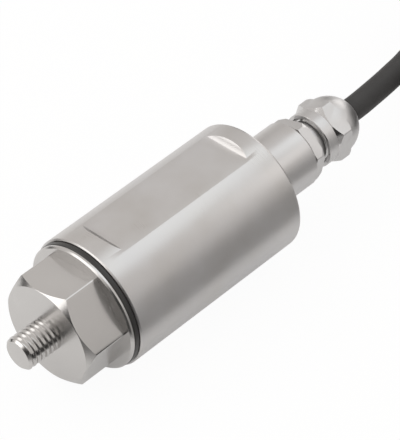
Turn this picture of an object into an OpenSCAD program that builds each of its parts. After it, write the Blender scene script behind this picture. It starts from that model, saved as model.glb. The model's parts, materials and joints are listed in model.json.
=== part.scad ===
// Vibration sensor: a stainless-steel sensor with a mounting stud, a round housing and a lead in a gland.
// The origin is the centre of the mounting face. +X runs along the axis from the stud to the lead,
// +Z is up through the marking flat, and the sensor lies on its round housing.

/* [Mounting stud] */
// Diameter of the stud over its thread
stud_d = 8; // [6:0.5:10]
// Length of the stud in front of the mounting face
stud_l = 8.5; // [6:0.5:14]
// Bevel on the end of the stud
stud_bevel = 0.6; // [0.2:0.1:1]

/* [Hexagon and flange] */
// Hexagon, across its flats
hex_af = 24; // [22:0.5:25]
// Length of the hexagon
hex_l = 10.3; // [7:0.1:14]
// Distance of the mounting face's edge from the middle of each flat
hex_face_inset = 0.1; // [0.05:0.05:0.5]
// Slope of the bevel on the hexagon's front corners, from the face
hex_bevel_deg = 40; // [20:1:50]
// Turn of the hexagon, from a flat facing up
hex_turn = -4; // [-30:1:30]
// Step of the flange below the housing, in radius
flange_step = 0.6; // [0.2:0.1:1]
// Thickness of the flange
flange_t = 0.9; // [0.6:0.1:2.4]
// Bevel on the flange's front edge
flange_bevel = 0.3; // [0.1:0.1:0.5]
// Length of the spigot that goes into the housing, from the flange
spigot_l = 8; // [6:0.5:10]
// Height of the boss that centres the shield can
boss_h = 1; // [0.6:0.1:2]

/* [Seal ring] */
// Lip of the black ring over the flange, in radius
seal_lip = 0.1; // [0:0.05:0.4]
// Thickness of the black ring between flange and housing
seal_t = 1.4; // [0.6:0.1:2]

/* [Housing] */
// Diameter of the housing
body_d = 32; // [31:0.5:36]
// Length of the housing's sleeve
body_l = 50.4; // [50:0.2:60]
// Wall of the sleeve
body_wall = 3.5; // [3:0.1:4]
// Thickness of the rear wall
end_wall = 3; // [2:0.2:4]
// Bevel on the front edge of the sleeve
body_bevel = 0.3; // [0.1:0.1:0.6]
// Radius on the rear edge of the sleeve
body_round = 0.7; // [0.3:0.1:1.5]
// Diameter of the neck
neck_d = 16.5; // [16:0.1:20]
// Length of the neck
neck_l = 14.6; // [12:0.2:20]
// Bevel on the neck's rear edge
neck_bevel = 0.7; // [0.1:0.1:0.9]
// Diameter of the passage for the lead between neck and sleeve
passage_d = 8.4; // [7.4:0.1:9]

/* [Marking flat] */
// Distance of the flat from the sleeve's front edge
flat_from = 4.6; // [4:0.1:8]
// Length of the flat
flat_l = 41.3; // [34:0.1:42]
// Depth of the flat below the top of the sleeve
flat_depth = 1.45; // [0.8:0.05:1.8]
// Radius at the ends of the flat, where it rises to the sleeve's top
flat_corner = 3.4; // [2:0.1:5]

/* [Sensing stack] */
// Diameter of the piezo rings and of the discs with them
stack_d = 12; // [10:0.5:13]
// Thickness of the insulating disc
insulator_t = 1; // [0.6:0.1:1.5]
// Thickness of each piezo ring
piezo_t = 1.5; // [1:0.1:2]
// Thickness of the electrode disc
electrode_t = 0.3; // [0.2:0.05:0.5]
// Diameter of the seismic mass
mass_d = 14; // [12:0.5:14.5]
// Length of the seismic mass
mass_l = 7; // [5:0.5:8]
// Thickness of the spring washer's steel
washer_t = 0.5; // [0.3:0.05:0.7]
// Dish of the spring washer
washer_dish = 0.3; // [0.1:0.05:0.5]
// Shank diameter of the preload screw
screw_d = 4; // [3:0.5:4.5]
// Head diameter of the preload screw
screw_head_d = 7; // [6:0.5:9]
// Head height of the preload screw
screw_head_h = 4; // [3:0.5:5]
// Depth of the preload screw in the base
screw_grip = 7; // [5:0.5:8]
// Outer diameter of the shield can
can_d = 19; // [18.5:0.5:21]
// Wall of the shield can
can_wall = 0.6; // [0.4:0.1:0.8]
// Free length over the screw head in the can
can_headroom = 1.2; // [0.8:0.1:2]

/* [Electronics] */
// Gap between the shield can and the board's front edge
board_gap = 2; // [1:0.5:3]
// Width of the circuit board
board_w = 20; // [19:0.5:21]
// Thickness of the circuit board
board_t = 1.6; // [1:0.1:2]
// Height of the board's top face, from the axis
board_top = -1; // [-2:0.1:-0.8]
// Length of the carrier's ring
carrier_ring_l = 2.5; // [1.5:0.5:3]
// Inner diameter of the carrier's ring
carrier_ring_d = 16; // [14:0.5:18]
// Wall of the carrier's bed
carrier_wall = 2; // [1.5:0.1:2.5]
// Shank diameter of the board screws
board_screw_d = 1.8; // [1.4:0.1:2]
// Height of the terminal block
terminal_h = 3.2; // [2.6:0.1:4]
// Height of the capacitors
capacitor_h = 5; // [3:0.5:7]
// Diameter of the wire from the electrode
lead_d = 0.8; // [0.5:0.1:1]

/* [Cable gland] */
// Diameter of the gland's thread in the neck
gland_d = 12; // [11:0.5:12]
// Length of the gland's thread in the neck
gland_l = 8; // [5:0.5:9]
// Hexagons of gland body and nut, across their flats
gland_af = 14; // [14:0.1:14.5]
// Length of the gland body's hexagon
gland_hex_l = 2.7; // [1.6:0.1:4]
// Turn of the gland body's hexagon, from a flat facing up
gland_turn = -15; // [-30:1:30]
// Open gap between the gland body's hexagon and the nut
nut_gap = 2.4; // [0.6:0.1:3]
// Thread diameter between gland body and nut
nut_thread_d = 12; // [11.6:0.1:12.4]
// Diameter of the nut's round collar
collar_d = 14.2; // [14:0.1:14.6]
// Length of the nut's round collar
collar_l = 3; // [2.5:0.1:5]
// Length of the nut's hexagon belt
nut_hex_l = 3.8; // [3:0.1:6]
// Slope of the bevel on the front corners of the nut's hexagon
nut_bevel_deg = 45; // [30:1:50]
// Turn of the nut's hexagon, from a flat facing up
nut_turn = -23; // [-30:1:30]
// Radius of the nut's dome
dome_r = 7.2; // [7.1:0.05:7.6]
// Length of the dome
dome_l = 6.1; // [5.6:0.1:6.2]

/* [Lead] */
// Diameter of the lead
cable_d = 5.9; // [5:0.1:6.4]
// Diameter of each core with its insulation
core_d = 1.3; // [1:0.1:1.4]
// Length of the straight runs of the hank
hank_run = 52; // [46:1:56]
// Thickness of the straps round the hank
tie_t = 1; // [0.6:0.1:1.5]
// Width of the straps round the hank
tie_w = 12; // [8:1:14]
// Length of the shrink sleeve on the jacket's end
sleeve_l = 8; // [5:1:10]

/* [Fits] */
// Radial gap between mating threads and spigots
fit_gap = 0.05; // [0.02:0.01:0.1]
// Gap between pieces that are slid together
slide_gap = 0.1; // [0.05:0.05:0.2]

/* [Hidden] */
$fn = 96;
// How far a cut reaches past the piece that it cuts
overcut = 0.5;

// Stations along the axis, from the mounting face
seal_x = hex_l + flange_t;
body_x = seal_x + seal_t;
body_end = body_x + body_l;
chamber_end = body_end - end_wall;
neck_end = body_end + neck_l;
spigot_end = seal_x + spigot_l;
boss_end = spigot_end + boss_h;
piezo_front_x = boss_end + insulator_t;
electrode_x = piezo_front_x + piezo_t;
piezo_rear_x = electrode_x + electrode_t;
mass_x = piezo_rear_x + piezo_t;
washer_x = mass_x + mass_l;
head_x = washer_x + washer_t + washer_dish;
can_end = head_x + screw_head_h + can_headroom + can_wall;
board_x = can_end + board_gap;
carrier_x = chamber_end - fit_gap - carrier_ring_l;
board_end = carrier_x - slide_gap;

// Radii of base, housing and can
stud_r = stud_d / 2;
hex_r = hex_af / 2 / cos(30);
hex_face_r = hex_af / 2 - hex_face_inset;
hex_cone_r = hex_r + overcut;
hex_cone_x = (hex_cone_r - hex_face_r) * tan(hex_bevel_deg);
body_r = body_d / 2;
flange_d = body_d - 2 * flange_step;
flange_r = flange_d / 2;
seal_d = flange_d + 2 * seal_lip;
bore_r = body_r - body_wall;
spigot_r = bore_r - fit_gap;
neck_r = neck_d / 2;
can_r = can_d / 2;
can_in_r = can_r - can_wall;

// Marking flat: a little wider than the line where a plane of this depth leaves the round sleeve,
// with a floor that is shorter by the rise at each end
flat_run_out = 0.2;
flat_w = 2 * (sqrt(body_r * body_r - pow(body_r - flat_depth, 2)) + flat_run_out);
flat_z = body_r - flat_depth;
flat_rise_l = sqrt(2 * flat_corner * flat_depth - flat_depth * flat_depth);
flat_floor_l = flat_l - 2 * flat_rise_l;

// Preload screw: its hole in the base, the holes it passes and its socket
screw_r = screw_d / 2;
screw_tip_room = 0.5;
screw_hole_l = screw_grip + screw_tip_room;
clear_r = screw_r + 2 * slide_gap;
socket_af = 3;
socket_h = 2;

// The wire passes between the seismic mass and the can
tab_w = 2.4;
tab_over = 0.15;
lead_r = lead_d / 2;
lead_y = (mass_d / 2 + can_in_r) / 2;
lead_hole_gap = 0.3;
lead_hole_r = lead_r + lead_hole_gap;
pad_l = 1.6;
pad_h = 1.5;
pad_from = 1;
pad_x = board_x + pad_from;

// Electronics on the board
board_bottom = board_top - board_t;
carrier_r = bore_r - slide_gap;
bed_step = 0.4;
bed_r = carrier_r - bed_step;
terminal_l = 4;
terminal_w = 10;
terminal_from = 1.3;
terminal_x = board_end - terminal_l - terminal_from;
terminal_end = terminal_x + terminal_l;
clamp_r = 0.8;
clamp_h = 0.8;
core_pitch = 2.5;
core_in_z = board_top + terminal_h / 2;
board_screw_r = board_screw_d / 2;
board_screw_x = terminal_x + terminal_l / 2;
board_screw_from = 3;
board_screw_y = terminal_w / 2 + board_screw_from;
board_head_over = 0.9;
board_head_r = board_screw_r + board_head_over;
board_head_h = 1.2;
screw_tip_gap = 0.2;
chip_x = (board_x + terminal_x) / 2;
chip_y = 1;
chip_w = 5;
chip_h = 1.2;
small_chip_y = 5.3;
small_chip_w = 2.4;
capacitor_r = 1.5;
capacitor_places = [-8, -4];

// Gland
cable_r = cable_d / 2;
thread_r = gland_d / 2 - fit_gap;
thread_over = 0.5;
gland_bore_gap = 0.35;
gland_bore_r = cable_r + gland_bore_gap;
nut_bore_r = nut_thread_d / 2;
nut_thread_r = nut_bore_r - fit_gap;
gland_hex_end = neck_end + gland_hex_l;
nut_x = gland_hex_end + nut_gap;
belt_x = nut_x + collar_l;
dome_x = belt_x + nut_hex_l;
nut_end = dome_x + dome_l;
nut_cone_r = gland_af / 2 / cos(30) + overcut;
nut_cone_x = belt_x + (nut_cone_r - collar_d / 2) * tan(nut_bevel_deg);
nut_bore_over = 0.5;
nut_bore_end = dome_x + nut_bore_over;
nut_cone_l = 3;
nut_cone_end = nut_bore_end + nut_cone_l;
mouth_gap = 0.3;
mouth_r = cable_r + mouth_gap;
seat_from = 0.3;
seat_x = nut_x + seat_from;
nut_grip = 0.8;
gland_end = belt_x + nut_grip;
insert_wall = 1.35;
insert_r = cable_r + insert_wall;
insert_over = 1.4;
insert_end = nut_bore_end + insert_over;
cage_r = insert_r + slide_gap;
cage_ring_l = 1.2;
cage_over = 0.2;
cage_end = nut_bore_end + cage_over;
cage_finger_step = 0.25;
cage_finger_r = nut_thread_r - cage_finger_step;
cage_slot_w = 1.2;
cage_slots = 3;
o_ring_r = 0.42;
o_ring_gap = 0.04;
o_ring_pitch_r = gland_d / 2 + o_ring_r + o_ring_gap;
o_ring_seat_r = o_ring_pitch_r + o_ring_r + o_ring_gap;
o_ring_seat_h = 2 * o_ring_r + o_ring_gap / 2;
jacket_from = 4;
jacket_end = chamber_end + jacket_from;

// Route of the free lead from its exit in the nut's mouth, chosen by hand to run into the hank
exit_depth = 1;
exit_x = nut_end - exit_depth;
route = [[0, 0, 0], [5, 0, 0], [10, 0.3, 0], [15, 0.7, 0], [20, 1.2, 0.1],
         [22.5, 1.5, 0.1], [25, 1.9, 0.2]];
cable_path = [for (p = route) [exit_x + p.x, p.y, p.z]];
path_last = cable_path[len(cable_path) - 1];
path_dir = unit(path_last - cable_path[len(cable_path) - 2]);
tube_sides = 32;
stub_l = 14;

// Hank: two lanes of the lead side by side, the outer one four layers high and the inner one five
hank_from = 54.2;
hank_x = exit_x + hank_from;
hank_y = -11.5;
hank_in_r = 15.35;
hank_mid_r = hank_in_r + cable_d;
hank_out_r = hank_mid_r + cable_d;
hank_z = -body_r + tie_t;
layer_3_top = hank_z + 3 * cable_d;
layer_4_top = hank_z + 4 * cable_d;
layer_5_top = hank_z + 5 * cable_d;
tie_from = 3;
far_tie_from = 18;
tie_x = hank_x + tie_from;
far_tie_x = hank_x + far_tie_from;
tie_corner = (sqrt(2) - 1) * tie_t;

// End of the lead: it lies in the outer lane, on the third layer
end_from = 20;
end_x = hank_x + end_from;
end_y = hank_y + (hank_mid_r + hank_out_r) / 2;
end_z = layer_3_top + cable_r;
sleeve_taper = 0.45;
sleeve_wall = 0.5;
core_r = core_d / 2;
core_off = 0.85;
core_sides = 16;
bend_l = 1.5;
ferrule_r = 0.7;
ferrule_pin_r = 0.45;
ferrule_collar_l = 2.5;
ferrule_l = 8;
core_gap = 1.5;
rest_z = layer_3_top + ferrule_r;
// Stations of the stripped cores behind the sleeve
fan_x = [3, 7, 12, 18];

function unit(v) = v / norm(v);

// Direction of a path at one of its points
function heading(path, i) =
    unit(path[min(i + 1, len(path) - 1)] - path[max(i - 1, 0)]);

// Points of the ring of a swept tube at one point of its path
function tube_ring(p, dir, r, sides) =
    let (side = unit(cross(dir, [0, 0, 1])), top = cross(side, dir))
    [for (k = [0 : sides - 1]) p + r * (cos(360 * k / sides) * side + sin(360 * k / sides) * top)];

// Path of one core between the terminal block and the jacket's end
function inner_path(side, upper) =
    let (far = side * (upper ? 1.5 : 0.5) * core_pitch, near = side * core_off,
         high = upper ? core_off : -core_off)
    [[terminal_end, far, core_in_z],
     [terminal_end + bend_l, far, core_in_z],
     [chamber_end, (far + near) / 2, (core_in_z + high) / 2],
     [jacket_end - bend_l, near, high],
     [jacket_end, near, high]];

// Path of one stripped core at the lead's end: straight in the sleeve, then down onto the hank
function outer_path(side, upper) =
    let (rest_y = (upper ? 1.5 : 0.5) * core_gap,
         fan_y = upper ? [0.95, 1.7, rest_y, rest_y] : [0.8, rest_y, rest_y, rest_y],
         drop = upper ? [0.95, 0.6, 0, 0] : [0.75, 0.2, 0, 0],
         high = end_z + (upper ? core_off : -core_off),
         fan_from = end_x + sleeve_l)
    concat([[end_x, end_y + side * core_off, high], [fan_from, end_y + side * core_off, high]],
           [for (i = [0 : 3]) [fan_from + fan_x[i], end_y + side * fan_y[i],
                               rest_z + drop[i] * (high - rest_z)]]);

// Turns a profile of [radius, station] points about the axis
module turned(points) {
    rotate([0, 90, 0])
        rotate_extrude()
            polygon(points);
}

// A round bar along the axis
module rod(x, l, r) {
    translate([x, 0, 0])
        rotate([0, 90, 0])
            cylinder(h = l, r = r);
}

// A round tube along the axis
module pipe(x, l, r_out, r_in) {
    difference() {
        rod(x, l, r_out);
        rod(x - overcut, l + 2 * overcut, r_in);
    }
}

// Extrudes a shape drawn in [y, z] along the axis
module along(x, l) {
    translate([x, 0, 0])
        rotate([90, 0, 90])
            linear_extrude(height = l)
                children();
}

// A hexagon with one flat facing up, turned by an angle
module hexagon(af, turn) {
    rotate(turn)
        circle(r = af / 2 / cos(30), $fn = 6);
}

// A tube swept along a path
module swept(path, d, sides) {
    last = len(path) - 1;
    points = [for (i = [0 : last]) for (p = tube_ring(path[i], heading(path, i), d / 2, sides)) p];
    start_cap = [[for (k = [0 : sides - 1]) k]];
    end_cap = [[for (k = [0 : sides - 1]) last * sides + sides - 1 - k]];
    skin = [for (i = [0 : last - 1]) for (k = [0 : sides - 1])
        [i * sides + k, (i + 1) * sides + k, (i + 1) * sides + (k + 1) % sides, i * sides + (k + 1) % sides]];
    polyhedron(points = points, faces = concat(start_cap, skin, end_cap));
}

// The long round outline of the hank, seen from above
module stadium(r) {
    circle(r = r);
    translate([hank_run, 0])
        circle(r = r);
    translate([0, -r])
        square([hank_run, 2 * r]);
}

// One lane of the hank between two heights
module lane(r_out, r_in, z_from, z_to) {
    translate([hank_x, hank_y, z_from])
        linear_extrude(height = z_to - z_from)
            difference() {
                stadium(r_out);
                stadium(r_in);
            }
}

// Outline of one leg of the hank, seen along it; a strap's thickness is added on every side
module leg_outline(t, corner) {
    polygon([[hank_in_r - t, hank_z - t], [hank_out_r + t, hank_z - t],
             [hank_out_r + t, layer_4_top + corner], [hank_mid_r + corner, layer_5_top + t],
             [hank_in_r - t, layer_5_top + t]]);
}

// One strap round a leg of the hank
module strap(x) {
    translate([0, hank_y, 0])
        along(x, tie_w)
            difference() {
                leg_outline(tie_t, tie_corner);
                leg_outline(0, 0);
            }
}

module mounting_base() {
    color("silver")
        difference() {
            union() {
                turned([[0, -stud_l], [stud_r - stud_bevel, -stud_l], [stud_r, stud_bevel - stud_l],
                        [stud_r, overcut], [0, overcut]]);
                intersection() {
                    along(0, hex_l)
                        hexagon(hex_af, hex_turn);
                    turned([[0, 0], [hex_face_r, 0], [hex_cone_r, hex_cone_x],
                            [hex_cone_r, hex_l + overcut], [0, hex_l + overcut]]);
                }
                turned([[0, hex_l], [flange_r - flange_bevel, hex_l], [flange_r, hex_l + flange_bevel],
                        [flange_r, seal_x], [spigot_r, seal_x], [spigot_r, spigot_end],
                        [can_in_r - fit_gap, spigot_end], [can_in_r - fit_gap, boss_end], [0, boss_end]]);
            }
            rod(boss_end - screw_hole_l, screw_hole_l + overcut, screw_r + fit_gap);
        }
}

module base_seal_ring() {
    color("black")
        pipe(seal_x, seal_t, seal_d / 2, bore_r + slide_gap);
}

module housing() {
    color("silver")
        difference() {
            union() {
                translate([body_x, 0, 0])
                    rotate([0, 90, 0])
                        rotate_extrude() {
                            polygon([[0, 0], [body_r - body_bevel, 0], [body_r, body_bevel],
                                     [body_r, body_l - body_round], [0, body_l - body_round]]);
                            translate([body_r - body_round, body_l - body_round])
                                circle(r = body_round);
                            square([body_r - body_round, body_l]);
                        }
                turned([[0, body_end - overcut], [neck_r, body_end - overcut],
                        [neck_r, neck_end - neck_bevel], [neck_r - neck_bevel, neck_end], [0, neck_end]]);
            }
            rod(body_x - overcut, chamber_end - body_x + overcut, bore_r);
            rod(chamber_end - overcut, neck_end - chamber_end + overcut, passage_d / 2);
            rod(neck_end - gland_l - thread_over, gland_l + thread_over + overcut, gland_d / 2);
            rod(neck_end - o_ring_seat_h, o_ring_seat_h + overcut, o_ring_seat_r);
            marking_flat();
        }
}

module marking_flat() {
    translate([body_x + flat_from + flat_rise_l, flat_w / 2, flat_z])
        rotate([90, 0, 0])
            linear_extrude(height = flat_w) {
                square([flat_floor_l, flat_corner]);
                for (x = [0, flat_floor_l])
                    translate([x, flat_corner])
                        circle(r = flat_corner);
            }
}

module insulating_disc() {
    color("white")
        pipe(boss_end, insulator_t, stack_d / 2, clear_r);
}

module piezo_ring_front() {
    color("tan")
        pipe(piezo_front_x, piezo_t, stack_d / 2, clear_r);
}

module electrode_disc() {
    color("gold")
        along(electrode_x, electrode_t)
            difference() {
                union() {
                    circle(r = stack_d / 2);
                    translate([0, -tab_w / 2])
                        square([lead_y + lead_r + tab_over, tab_w]);
                }
                circle(r = clear_r);
            }
}

module piezo_ring_rear() {
    color("tan")
        pipe(piezo_rear_x, piezo_t, stack_d / 2, clear_r);
}

module seismic_mass() {
    color("dimgray")
        pipe(mass_x, mass_l, mass_d / 2, clear_r);
}

module spring_washer() {
    washer_r = screw_head_d / 2;
    color("gray")
        turned([[clear_r, washer_x + washer_dish], [washer_r, washer_x],
                [washer_r, washer_x + washer_t], [clear_r, washer_x + washer_t + washer_dish]]);
}

module preload_screw() {
    color("dimgray")
        difference() {
            union() {
                rod(boss_end - screw_grip, head_x - boss_end + screw_grip + overcut, screw_r);
                rod(head_x, screw_head_h, screw_head_d / 2);
            }
            along(head_x + screw_head_h - socket_h, socket_h + overcut)
                hexagon(socket_af, 0);
        }
}

module shield_can() {
    color("lightgray")
        difference() {
            rod(spigot_end, can_end - spigot_end, can_r);
            rod(spigot_end - overcut, can_end - can_wall - spigot_end + overcut, can_in_r);
            translate([0, lead_y, 0])
                rod(can_end - can_wall - overcut, can_wall + 2 * overcut, lead_hole_r);
        }
}

module sensor_lead() {
    color("red")
        translate([0, lead_y, 0])
            rod(piezo_rear_x, pad_x - piezo_rear_x, lead_r);
}

// The part of a disc that lies below a height
module below(r, z) {
    intersection() {
        circle(r = r);
        translate([-r, -r])
            square([2 * r, r + z]);
    }
}

module board_screw_places() {
    for (side = [-1, 1])
        translate([board_screw_x, side * board_screw_y, 0])
            children();
}

module board_carrier() {
    color("dimgray")
        difference() {
            union() {
                pipe(carrier_x, carrier_ring_l, carrier_r, carrier_ring_d / 2);
                along(board_x, carrier_x - board_x)
                    difference() {
                        below(bed_r, board_bottom);
                        below(bed_r - carrier_wall, board_bottom - carrier_wall);
                    }
            }
            board_screw_places()
                translate([0, 0, board_bottom - carrier_wall - overcut])
                    cylinder(h = carrier_wall + 2 * overcut, r = board_screw_r + fit_gap);
        }
}

module circuit_board() {
    color("green")
        difference() {
            translate([board_x, -board_w / 2, board_bottom])
                cube([board_end - board_x, board_w, board_t]);
            board_screw_places()
                translate([0, 0, board_bottom - overcut])
                    cylinder(h = board_t + 2 * overcut, r = board_screw_r + fit_gap);
        }
}

module board_chips() {
    color("black") {
        translate([chip_x - chip_w / 2, chip_y - chip_w / 2, board_top])
            cube([chip_w, chip_w, chip_h]);
        translate([chip_x - small_chip_w / 2, small_chip_y - small_chip_w / 2, board_top])
            cube([small_chip_w, small_chip_w, chip_h]);
        translate([pad_x, lead_y - pad_l / 2, board_top])
            cube([pad_l, pad_l, pad_h]);
    }
}

module board_capacitors() {
    color("navy")
        for (y = capacitor_places)
            translate([chip_x, y, board_top])
                cylinder(h = capacitor_h, r = capacitor_r);
}

module terminal_block() {
    color("limegreen")
        difference() {
            translate([terminal_x, -terminal_w / 2, board_top])
                cube([terminal_l, terminal_w, terminal_h]);
            for (i = [-1.5 : 1.5])
                translate([board_screw_x, i * core_pitch, board_top + terminal_h - clamp_h])
                    cylinder(h = clamp_h + overcut, r = clamp_r);
        }
}

module board_screws() {
    color("gray")
        board_screw_places() {
            translate([0, 0, board_bottom - carrier_wall + screw_tip_gap])
                cylinder(h = board_t + carrier_wall - screw_tip_gap + overcut, r = board_screw_r);
            translate([0, 0, board_top])
                cylinder(h = board_head_h, r = board_head_r);
        }
}

module inner_cores() {
    color("sienna")
        for (side = [-1, 1], upper = [false, true])
            swept(inner_path(side, upper), core_d, core_sides);
}

module gland_o_ring() {
    color("black")
        translate([neck_end - o_ring_seat_h / 2, 0, 0])
            rotate([0, 90, 0])
                rotate_extrude()
                    translate([o_ring_pitch_r, 0])
                        circle(r = o_ring_r);
}

module gland_body() {
    color("silver")
        difference() {
            union() {
                rod(neck_end - gland_l, gland_l + overcut, thread_r);
                along(neck_end, gland_hex_l)
                    hexagon(gland_af, gland_turn);
                rod(gland_hex_end - overcut, gland_end - gland_hex_end + overcut, nut_thread_r);
            }
            rod(neck_end - gland_l - overcut, gland_end - neck_end + gland_l, gland_bore_r);
            rod(seat_x, gland_end - seat_x + overcut, cage_r);
        }
}

module gland_seal_insert() {
    color("black")
        pipe(seat_x, insert_end - seat_x, insert_r, cable_r + fit_gap);
}

module gland_clamp_cage() {
    cage_x = gland_end + fit_gap;
    color("gray")
        difference() {
            union() {
                pipe(cage_x, cage_ring_l, nut_thread_r, cage_r);
                pipe(cage_x, cage_end - cage_x, cage_finger_r, cage_r);
            }
            for (i = [0 : cage_slots - 1])
                rotate([180 * i / cage_slots, 0, 0])
                    translate([cage_x + cage_ring_l, -cage_slot_w / 2, -body_r])
                        cube([cage_end - cage_x, cage_slot_w, body_d]);
        }
}

module gland_dome_nut() {
    color("silver")
        difference() {
            union() {
                rod(nut_x, collar_l + overcut, collar_d / 2);
                intersection() {
                    along(belt_x, nut_hex_l)
                        hexagon(gland_af, nut_turn);
                    turned([[0, belt_x - overcut], [collar_d / 2, belt_x - overcut], [collar_d / 2, belt_x],
                            [nut_cone_r, nut_cone_x], [nut_cone_r, dome_x + overcut], [0, dome_x + overcut]]);
                }
                translate([dome_x, 0, 0])
                    rotate([0, 90, 0])
                        rotate_extrude()
                            intersection() {
                                circle(r = dome_r);
                                square([dome_r, dome_l]);
                            }
            }
            turned([[0, nut_x - overcut], [nut_bore_r, nut_x - overcut], [nut_bore_r, nut_bore_end],
                    [mouth_r, nut_cone_end], [mouth_r, nut_end + overcut], [0, nut_end + overcut]]);
        }
}

module cable_in_gland() {
    color("dimgray")
        rod(jacket_end, exit_x - jacket_end, cable_r);
}

module cable() {
    color("dimgray")
        swept(cable_path, cable_d, tube_sides);
}

module cable_hank() {
    color("dimgray") {
        translate(path_last)
            rotate([0, acos(path_dir.z), atan2(path_dir.y, path_dir.x)])
                cylinder(h = stub_l, r = cable_r);
        lane(hank_mid_r, hank_in_r, hank_z, layer_5_top);
        lane(hank_out_r, hank_mid_r - overcut, hank_z, layer_3_top);
        difference() {
            lane(hank_out_r, hank_mid_r - overcut, layer_3_top - overcut, layer_4_top);
            difference() {
                translate([end_x, hank_y, layer_3_top])
                    cube([hank_run + hank_out_r, hank_out_r + overcut, cable_d + overcut]);
                translate([hank_x, hank_y, layer_3_top - overcut])
                    linear_extrude(height = cable_d + 2 * overcut)
                        stadium(hank_mid_r);
            }
        }
    }
}

module hank_ties() {
    color("black") {
        strap(tie_x);
        translate([0, 2 * hank_y, 0])
            mirror([0, 1, 0])
                strap(far_tie_x);
    }
}

module lead_end_sleeve() {
    tip_r = cable_r - sleeve_taper;
    color("black")
        translate([0, end_y, end_z])
            turned([[cable_r - sleeve_taper - sleeve_wall, end_x], [cable_r, end_x],
                    [tip_r, end_x + sleeve_l], [tip_r - sleeve_wall, end_x + sleeve_l]]);
}

module core_brown() {
    color("sienna")
        swept(outer_path(-1, true), core_d, core_sides);
}

module core_white() {
    color("white")
        swept(outer_path(-1, false), core_d, core_sides);
}

module core_blue() {
    color("blue")
        swept(outer_path(1, false), core_d, core_sides);
}

module core_black() {
    color("black")
        swept(outer_path(1, true), core_d, core_sides);
}

module core_ferrules() {
    color("lightgray")
        for (i = [-1.5 : 1.5])
            translate([end_x + sleeve_l + fan_x[3], end_y + i * core_gap, rest_z]) {
                rod(0, ferrule_collar_l, ferrule_r);
                rod(ferrule_collar_l - overcut, ferrule_l - ferrule_collar_l + overcut, ferrule_pin_r);
            }
}

mounting_base();
base_seal_ring();
housing();
insulating_disc();
piezo_ring_front();
electrode_disc();
piezo_ring_rear();
seismic_mass();
spring_washer();
preload_screw();
shield_can();
sensor_lead();
board_carrier();
circuit_board();
board_chips();
board_capacitors();
terminal_block();
board_screws();
inner_cores();
gland_o_ring();
gland_body();
gland_seal_insert();
gland_clamp_cage();
gland_dome_nut();
cable_in_gland();
cable();
cable_hank();
hank_ties();
lead_end_sleeve();
core_brown();
core_white();
core_blue();
core_black();
core_ferrules();
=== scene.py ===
# %% [markdown]
# A vibration sensor in Blender.
# The solids come from CAD and are loaded as a fixed frame, in metres. The stud points along -X, the lead
# leaves along +X and the marking flat looks up, along +Z. Here the pieces get their fine shapes, their
# finishes, the wound-up lead and the studio round them.

# %% Load the frame
import json
import math

import bpy
from mathutils import Matrix, Vector
from mathutils.geometry import interpolate_bezier


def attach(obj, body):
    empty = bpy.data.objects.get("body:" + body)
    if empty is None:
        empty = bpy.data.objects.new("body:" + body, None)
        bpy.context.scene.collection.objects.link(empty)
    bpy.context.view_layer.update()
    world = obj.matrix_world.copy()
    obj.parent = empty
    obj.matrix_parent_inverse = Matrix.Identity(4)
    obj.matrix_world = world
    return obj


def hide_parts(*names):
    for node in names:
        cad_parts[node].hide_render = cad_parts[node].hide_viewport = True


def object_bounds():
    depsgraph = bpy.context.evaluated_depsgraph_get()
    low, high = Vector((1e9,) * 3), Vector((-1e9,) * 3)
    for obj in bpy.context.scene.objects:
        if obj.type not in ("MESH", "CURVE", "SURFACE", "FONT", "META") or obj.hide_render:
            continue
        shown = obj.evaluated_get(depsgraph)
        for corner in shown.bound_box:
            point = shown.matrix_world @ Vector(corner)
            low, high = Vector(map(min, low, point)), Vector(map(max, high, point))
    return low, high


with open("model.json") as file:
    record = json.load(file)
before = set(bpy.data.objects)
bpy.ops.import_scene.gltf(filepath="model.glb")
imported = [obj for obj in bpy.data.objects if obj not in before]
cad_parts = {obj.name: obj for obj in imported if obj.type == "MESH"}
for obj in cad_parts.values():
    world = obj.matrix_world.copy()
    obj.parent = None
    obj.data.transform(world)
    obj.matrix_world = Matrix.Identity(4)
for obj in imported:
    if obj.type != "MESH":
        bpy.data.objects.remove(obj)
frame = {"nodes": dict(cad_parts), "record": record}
cad_low, cad_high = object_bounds()
MM = 0.001
print("CAD box in mm:", [round((h - l) / MM, 1) for l, h in zip(cad_low, cad_high)])

# %% [markdown]
# The camera comes first, because it decides what the picture shows of the lead. It was worked out from the
# photograph: the sensor's axis runs up to the right and we look down on it at about 41 degrees.
# A long lens keeps the housing's sides nearly parallel.

# %% Camera
CAMERA_PLACE = Vector((-268.96, -344.65, 408.42)) * MM
CAMERA_RIGHT = Vector((0.6933, -0.7174, -0.0688))
CAMERA_UP = Vector((0.5099, 0.4207, 0.7503))
PICTURE_HEIGHT_PX = 440
FOCAL_PX = 2800
SENSOR_MM = 36

camera_data = bpy.data.cameras.new("camera")
camera_data.sensor_width = SENSOR_MM
camera_data.lens = SENSOR_MM * FOCAL_PX / PICTURE_HEIGHT_PX
camera = bpy.data.objects.new("camera", camera_data)
bpy.context.collection.objects.link(camera)
back = CAMERA_RIGHT.cross(CAMERA_UP).normalized()
up = back.cross(CAMERA_RIGHT).normalized()
right = up.cross(back)
camera.matrix_world = Matrix.Translation(CAMERA_PLACE) @ Matrix((right, up, back)).transposed().to_4x4()
bpy.context.scene.camera = camera
print("lens in mm:", round(camera_data.lens, 1))

# %% [markdown]
# The lead is about two metres of round black cable. The picture shows only its first few centimetres, so the
# rest is folded into a hank just outside the view, in two lanes side by side and five layers high. A loop
# works out the turns: each turn is a straight run, a half circle, a run back and another half circle.
# The lead climbs, drops or changes lanes on the run on the far side of the hank from its start.

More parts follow.
